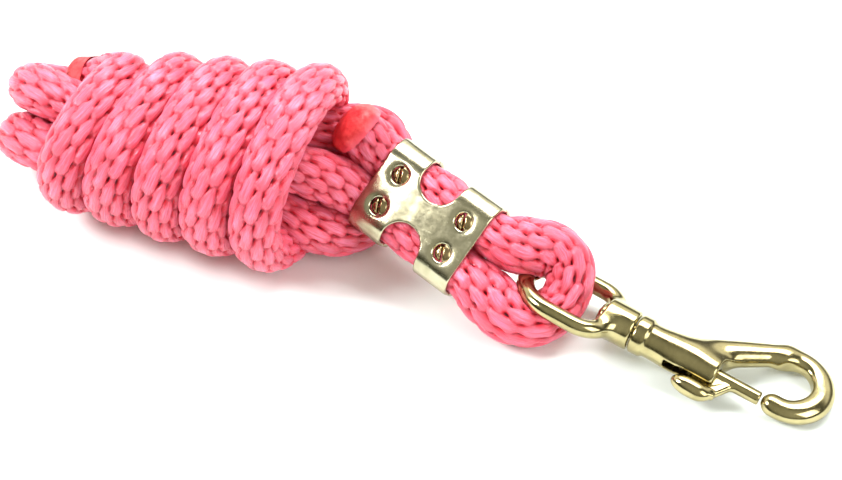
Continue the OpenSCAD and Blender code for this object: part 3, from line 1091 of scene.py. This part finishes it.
# %% Rope material
def braid_material():
    material = bpy.data.materials.new("Pink braided yarn")
    material.use_nodes = True
    tree = material.node_tree
    shader = tree.nodes["Principled BSDF"]
    relief, across = read_mark(tree, "relief"), read_mark(tree, "across")
    lengthways, tint = read_mark(tree, "lengthways"), read_mark(tree, "tint")
    strand = add_node(tree, "ShaderNodeCombineXYZ", X=do_math(tree, "MULTIPLY", across, 7.0),
                      Y=do_math(tree, "MULTIPLY", lengthways, 1.4),
                      Z=do_math(tree, "MULTIPLY", tint, 40.0)).outputs[0]
    filament = add_node(tree, "ShaderNodeTexNoise", Vector=strand, Scale=1.0, Detail=3.0,
                        Roughness=0.65).outputs["Fac"]
    # Painted shade: by the relief, the pits are painted near black and the gaps a darker, redder
    # pink.
    colour = mix_colour(tree, remap(tree, relief, 0.08, 0.42), (0.13, 0.001, 0.006, 1),
                        (0.84, 0.030, 0.052, 1))
    colour = mix_colour(tree, remap(tree, relief, 0.34, 0.72), colour,
                        (0.88, 0.089, 0.143, 1))
    # Painted highlight: the highest backs of the stitches are painted pale lavender along their
    # filaments, as a silky sheen.
    painted_crest_sheen = do_math(tree, "MULTIPLY", remap(tree, relief, 0.8, 1.0),
                    remap(tree, filament, 0.4, 0.65, 0.0, 0.55))
    colour = mix_colour(tree, painted_crest_sheen, colour, (0.86, 0.27, 0.48, 1))
    # Each filament is lighter or darker along its length: fibre streaks, with painted sheen on the
    # lighter ones.
    shade = remap(tree, filament, 0.25, 0.7, 0.82, 1.1)
    shade = do_math(tree, "MULTIPLY", shade, remap(tree, tint, 0.0, 1.0, 0.9, 1.05))
    grey = add_node(tree, "ShaderNodeCombineColor", Red=shade, Green=shade, Blue=shade)
    colour = mix_colour(tree, 1.0, colour, grey.outputs[0], "MULTIPLY")
    tree.links.new(colour, shader.inputs["Base Color"])
    tree.links.new(remap(tree, filament, 0.3, 0.7, 0.42, 0.24), shader.inputs["Roughness"])
    shader.inputs["Specular IOR Level"].default_value = 1.0
    shader.inputs["Specular Tint"].default_value = (1.0, 0.8, 0.97, 1)
    shader.inputs["Sheen Weight"].default_value = 0.12
    shader.inputs["Sheen Roughness"].default_value = 0.3
    shader.inputs["Sheen Tint"].default_value = (1.0, 0.62, 0.85, 1)
    bump = add_node(tree, "ShaderNodeBump", Height=filament, Distance=0.0006, Strength=0.9)
    tree.links.new(bump.outputs[0], shader.inputs["Normal"])
    return material


def melt_material():
    """The sealed ends: glossy melted yarn, charred where the knife touched it."""
    material = bpy.data.materials.new("Melted rope end")
    material.use_nodes = True
    tree = material.node_tree
    shader = tree.nodes["Principled BSDF"]
    rim = read_mark(tree, "rim")
    cloud = add_group(tree, mottle, Scale=420.0, Detail=5.0).outputs["Mask"]
    edge = do_math(tree, "MULTIPLY", remap(tree, rim, 0.35, 0.75), remap(
        tree, cloud, 0.3, 0.8, 0.1, 0.8))
    colour = mix_colour(tree, cloud, (0.70, 0.018, 0.026, 1), (0.90, 0.065, 0.07, 1))
    colour = mix_colour(tree, read_mark(tree, "melted"), (0.88, 0.088, 0.142, 1), colour)
    colour = mix_colour(tree, edge, colour, (0.10, 0.012, 0.012, 1))
    tree.links.new(colour, shader.inputs["Base Color"])
    tree.links.new(remap(tree, cloud, 0.0, 1.0, 0.38, 0.54), shader.inputs["Roughness"])
    shader.inputs["Coat Weight"].default_value = 0.15
    bump = add_node(tree, "ShaderNodeBump", Height=cloud, Distance=0.0003, Strength=0.5)
    tree.links.new(bump.outputs[0], shader.inputs["Normal"])
    return material


rope.data.materials.append(braid_material())
melt = melt_material()
for piece in (short_tip, tail_tip):
    piece.data.materials.append(melt)

# %% [markdown]
# ## Light and floor
#
# Polished brass shows the room, so the room matters as much as the lamps. The room is
# bright overhead, with a dark band above the horizon and the dark side of the studio behind
# the camera, which give the olive bands. Broad lamps give the cream highlights and the
# rope's soft shadow.

# %% Light and floor
def add_lamp(name, place, size, power, colour=(1, 1, 1)):
    data = bpy.data.lights.new(name, "AREA")
    data.shape, data.size, data.size_y = "RECTANGLE", size[0], size[1]
    data.energy, data.color = power, colour
    lamp = bpy.data.objects.new(name, data)
    lamp.location = place
    lamp.rotation_euler = (Vector((0.06, 0.02, 0.01)) - lamp.location).to_track_quat(
        "-Z", "Y").to_euler()
    bpy.context.scene.collection.objects.link(lamp)
    return lamp


def room():
    world = bpy.data.worlds.new("studio")
    bpy.context.scene.world = world
    world.use_nodes = True
    tree = world.node_tree
    ray = add_node(tree, "ShaderNodeTexCoord").outputs["Generated"]
    up = add_node(tree, "ShaderNodeSeparateXYZ", Vector=ray).outputs["Z"]
    ramp = add_node(tree, "ShaderNodeValToRGB", i0=up)
    stops = ramp.color_ramp.elements
    stops[0].position, stops[0].color = 0.0, (0.30, 0.30, 0.27, 1)
    stops[1].position, stops[1].color = 1.0, (1.0, 1.0, 1.0, 1)
    for at, value in ((0.12, 0.10), (0.30, 0.20), (0.46, 1.0)):
        stop = stops.new(at)
        stop.color = (value, value, value * 0.95, 1)
    toward = (camera.location - VIEW_TARGET).normalized()
    facing = add_node(tree, "ShaderNodeVectorMath", {"operation": "DOT_PRODUCT"}, i0=ray,
                      i1=tuple(toward)).outputs["Value"]
    behind_camera = remap(tree, facing, 0.12, 0.46, 0.0, 0.96)
    dark_side = mix_colour(tree, remap(tree, facing, 0.55, 1.0), (0.035, 0.037, 0.02, 1),
                           (0.34, 0.34, 0.28, 1))
    colour = mix_colour(tree, behind_camera, ramp.outputs[0], dark_side)
    tree.links.new(colour, tree.nodes["Background"].inputs["Color"])
    tree.nodes["Background"].inputs["Strength"].default_value = 1.6


def floor():
    mesh = bpy.data.meshes.new("floor")
    mesh.from_pydata([(-3, -3, 0), (3, -3, 0), (3, 3, 0), (-3, 3, 0)], [], [(0, 1, 2, 3)])
    plane = bpy.data.objects.new("floor", mesh)
    bpy.context.scene.collection.objects.link(plane)
    material = bpy.data.materials.new("Pale paper")
    material.use_nodes = True
    tree = material.node_tree
    shader = tree.nodes["Principled BSDF"]
    cloud = add_group(tree, mottle, Scale=6.0).outputs["Mask"]
    tree.links.new(mix_colour(tree, cloud, (0.90, 0.955, 0.95, 1), (0.88, 0.94, 0.935, 1)),
                   shader.inputs["Base Color"])
    shader.inputs["Roughness"].default_value = 0.9
    mesh.materials.append(material)


room()
floor()
add_lamp("overhead", (0.0, 0.48, 0.86), (0.9, 0.45), 14.5)
add_lamp("front_window", (-0.53, -0.45, 0.73), (0.30, 0.34), 11)
add_lamp("right_card", (0.75, -0.1, 0.45), (0.4, 0.5), 3)
bpy.context.scene.view_settings.view_transform = "Standard"
bpy.context.scene.view_settings.look = "None"
